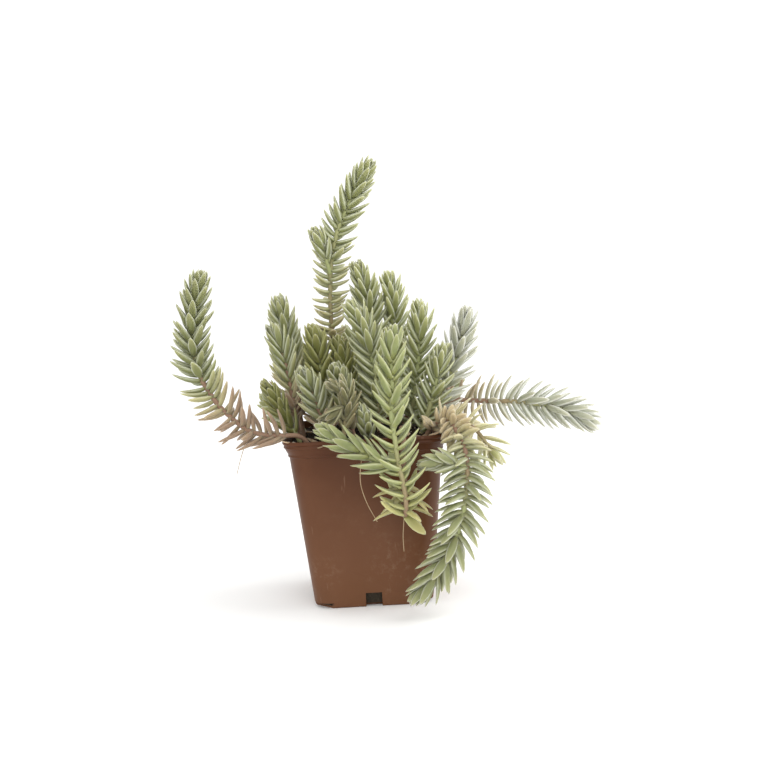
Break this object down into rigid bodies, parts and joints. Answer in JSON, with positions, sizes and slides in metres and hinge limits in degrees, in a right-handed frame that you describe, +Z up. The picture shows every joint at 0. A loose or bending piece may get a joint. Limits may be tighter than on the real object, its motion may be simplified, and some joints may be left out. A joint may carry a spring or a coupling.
{
  "type": "potted sedum",
  "caption": "Sedum with narrow fleshy leaves on upright, arching and trailing stems, in a small square tapered nursery pot.",
  "frame": {"origin": "middle of the flat underside of the pot, on the surface that it stands on", "axes": "+Z up out of the pot; +X to the right and +Y to the back as seen from the side over which the hooked stem hangs"},
  "size_m": [0.2408, 0.132, 0.2489],
  "materials": {
    "pot_plastic": "moulded plastic, terracotta brown, satin, with fine scratches and pale dust",
    "potting_soil": "dark crumbly potting soil, dull",
    "glaucous_leaf": "fleshy leaf with a waxy bloom, dull",
    "shaded_leaf": "fleshy leaf with a waxy bloom, dull",
    "young_leaf": "fleshy leaf with a waxy bloom, dull",
    "pale_leaf": "fleshy leaf with a waxy bloom, dull",
    "bloomed_leaf": "fleshy leaf under a thick white waxy bloom, dull",
    "yellowing_leaf": "fleshy leaf with a waxy bloom, dull",
    "dry_leaf": "fleshy leaf with a waxy bloom, dull"
  },
  "bodies": {
    "root": {"pot": "pot_plastic", "soil": "potting_soil", "left_arch_stem": "glaucous_leaf", "tall_stem": "glaucous_leaf", "cluster_tall_stem": "glaucous_leaf", "cluster_front_stem": "glaucous_leaf", "cluster_back_stem": "glaucous_leaf", "short_left_stem": "shaded_leaf", "left_rosette_stem": "glaucous_leaf", "middle_rosette_stem": "glaucous_leaf", "dark_left_stem": "shaded_leaf", "dark_middle_stem": "shaded_leaf", "drooping_stem": "dry_leaf", "middle_back_stem": "glaucous_leaf", "middle_right_stem": "glaucous_leaf", "middle_front_stem": "glaucous_leaf", "hooked_stem": "young_leaf", "right_upright_stem": "glaucous_leaf", "right_leaning_stem": "bloomed_leaf", "right_inner_stem": "glaucous_leaf", "right_level_stem": "bloomed_leaf", "hanging_stem": "pale_leaf", "pink_side_stem": "yellowing_leaf", "young_shoot": "glaucous_leaf", "back_left_stem": "glaucous_leaf", "back_middle_stem": "glaucous_leaf", "back_right_stem": "glaucous_leaf", "back_low_stem": "glaucous_leaf", "back_edge_stem": "glaucous_leaf"}
  },
  "joints": []
}
